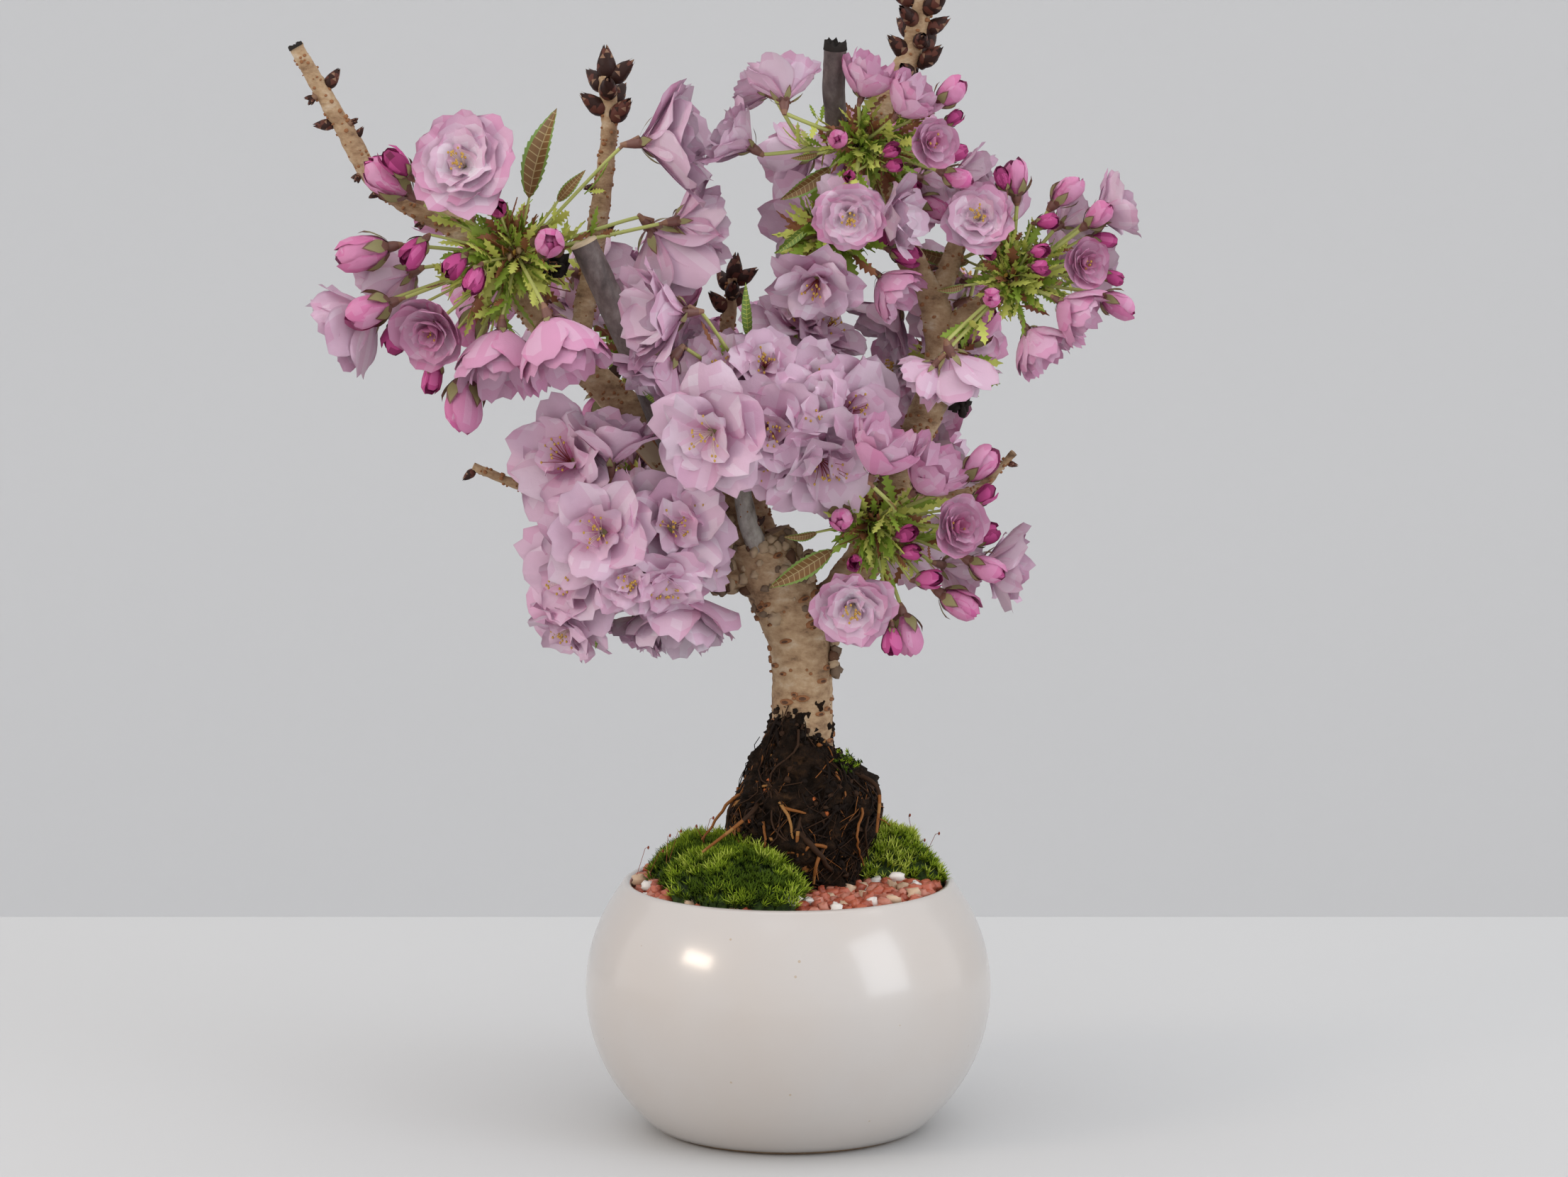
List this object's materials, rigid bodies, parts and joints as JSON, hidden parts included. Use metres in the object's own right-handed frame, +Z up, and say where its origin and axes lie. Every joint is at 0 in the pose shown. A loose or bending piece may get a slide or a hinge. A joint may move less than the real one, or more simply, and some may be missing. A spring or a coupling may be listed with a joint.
{
  "type": "potted cherry bonsai",
  "caption": "Miniature flowering cherry tree with double pink blossom, exposed roots, moss and gravel, planted in a round white glazed pot.",
  "frame": {"origin": "centre of the pot's flat underside, on the surface that it stands on", "axes": "+Z up, -Y towards the plant's front, +X to the right as seen from the front"},
  "size_m": [0.2657, 0.1622, 0.3778],
  "materials": {
    "glaze": "gloss",
    "soil": "matte",
    "gravel": "matte",
    "moss": "matte",
    "roots": "matte",
    "bark": "matte",
    "dark_bark": "matte",
    "blossom": "matte"
  },
  "bodies": {
    "root": {"pot": "glaze", "soil": "soil", "gravel": "gravel", "moss_left": "moss", "moss_right": "moss", "root_mass": "roots", "trunk": "bark", "bough_left": "bark", "bough_left_cut": "dark_bark", "bough_upright": "bark", "bough_back": "bark", "bough_lower_left": "bark", "bough_centre": "bark", "bough_right": "bark", "bough_right_side": "bark", "bough_right_upright": "bark", "bough_top_cut": "dark_bark", "twig_lower_left": "bark", "twig_lower_right": "bark", "blossom_middle": "blossom", "blossom_centre": "blossom", "blossom_lower_left": "blossom", "blossom_upper_left": "blossom", "blossom_lower_right": "blossom", "blossom_right": "blossom", "blossom_top": "blossom", "blossom_back_left": "blossom", "blossom_back_right": "blossom", "blossom_back_centre": "blossom", "blossom_back_low_left": "blossom", "blossom_back_low_right": "blossom", "blossom_back_top": "blossom"}
  },
  "joints": []
}
